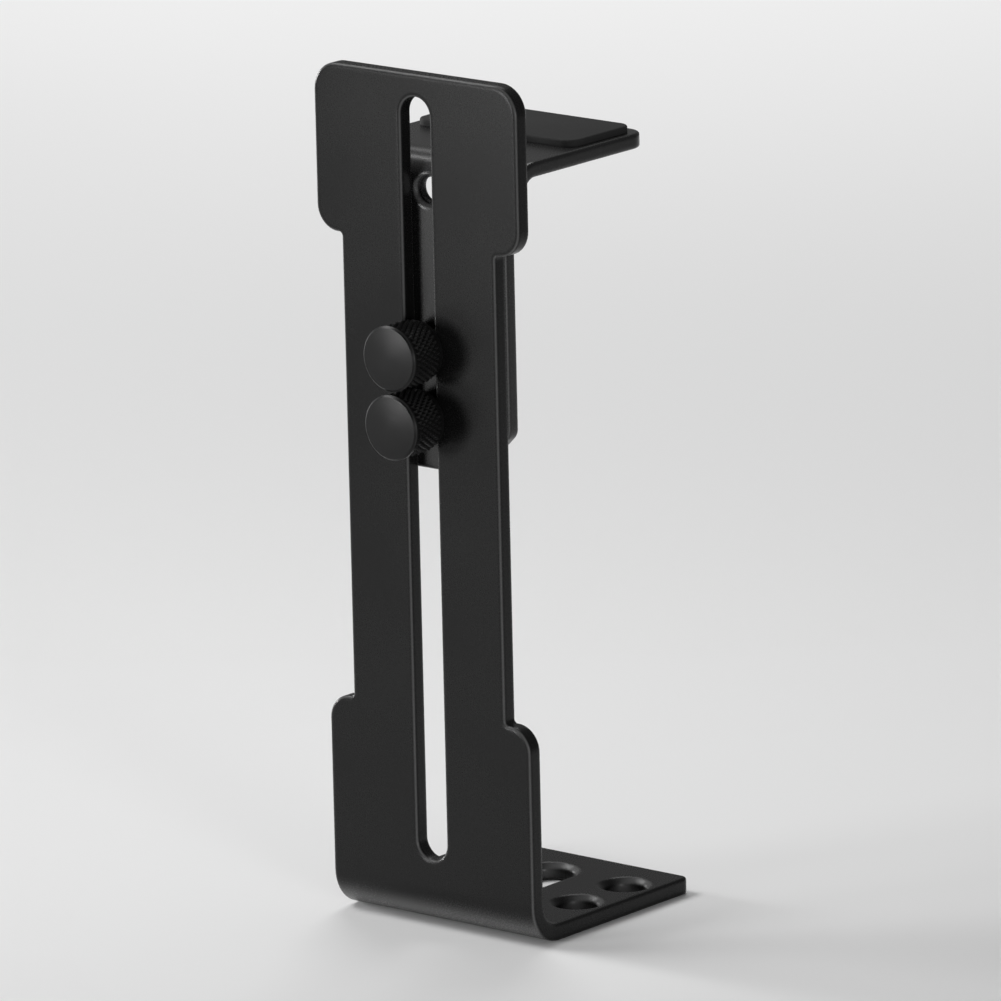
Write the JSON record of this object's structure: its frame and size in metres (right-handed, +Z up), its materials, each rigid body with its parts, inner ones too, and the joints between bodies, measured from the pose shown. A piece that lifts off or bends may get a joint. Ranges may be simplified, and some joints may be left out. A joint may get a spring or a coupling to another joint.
{
  "type": "graphics card support bracket",
  "caption": "Folded sheet-metal bracket: slotted upright on a screw-down foot, with a height-adjustable shelf clamped by knurled thumb screws to hold up a graphics card.",
  "frame": {"origin": "centre of the foot's four screw holes, on the foot's underside", "axes": "+Z up along the upright plate, +Y from the front plate towards the foot's back edge, +X to the right seen from the thumb-screw side"},
  "size_m": [0.037, 0.0429, 0.125],
  "materials": {
    "coated_steel": "fine matte black powder coat with softened edges",
    "black_screw": "black anodised, diamond knurled",
    "pad_rubber": "matte closed-cell rubber"
  },
  "bodies": {
    "base": {"base_plate": "coated_steel"},
    "support": {"support_plate": "coated_steel", "shelf_pad": "pad_rubber"},
    "upper_screw": {"upper_screw": "black_screw"},
    "lower_screw": {"lower_screw": "black_screw"}
  },
  "joints": [
    {"name": "support_slide", "type": "slide", "parent": "base", "child": "support", "axis": [0, 0, 1], "range_m": [-0.061, 0.034]},
    {"name": "upper_screw_turn", "type": "hinge", "parent": "support", "child": "upper_screw", "pos_m": [0, -0.0215, 0.0852], "axis": [0, -1, 0], "range_deg": [0, 360]},
    {"name": "lower_screw_turn", "type": "hinge", "parent": "support", "child": "lower_screw", "pos_m": [0, -0.0215, 0.0752], "axis": [0, -1, 0], "range_deg": [0, 360]}
  ]
}
